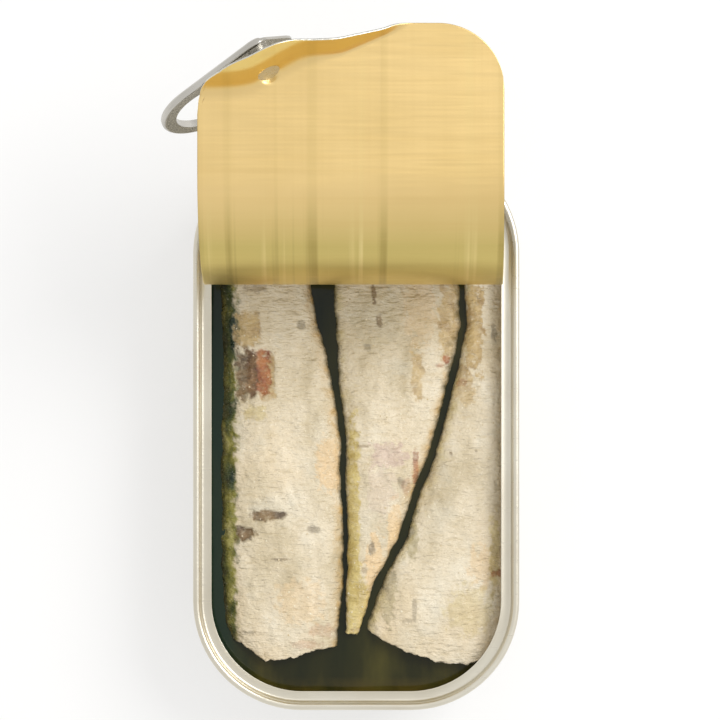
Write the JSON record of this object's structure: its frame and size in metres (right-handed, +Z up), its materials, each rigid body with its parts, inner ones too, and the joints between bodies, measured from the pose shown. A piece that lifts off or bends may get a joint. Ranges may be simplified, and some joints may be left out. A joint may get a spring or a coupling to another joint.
{
  "type": "sardine tin",
  "caption": "Shallow oblong fish tin with its lid peeled and curled back by the ring pull, holding whole sardines in oil.",
  "frame": {"origin": "centre of the tin's base, on the plane it stands on", "axes": "+Z up, +Y along the tin towards the end where the lid is still attached, +X to the right seen from the cut ends of the fish"},
  "size_m": [0.0644, 0.123, 0.0653],
  "materials": {
    "tin_metal": "satin silver sheet with a faint warm lacquer",
    "gold_lacquer": "pale gold lacquer on satin sheet",
    "tab_metal": "bright stamped sheet",
    "sardine": "moist cream and silver skin",
    "oil": "dark olive oil"
  },
  "bodies": {
    "root": {"can_body": "tin_metal", "lid": "gold_lacquer", "ring_pull": "tab_metal", "sardine_left": "sardine", "sardine_middle": "sardine", "sardine_right": "sardine", "oil": "oil"}
  },
  "joints": []
}
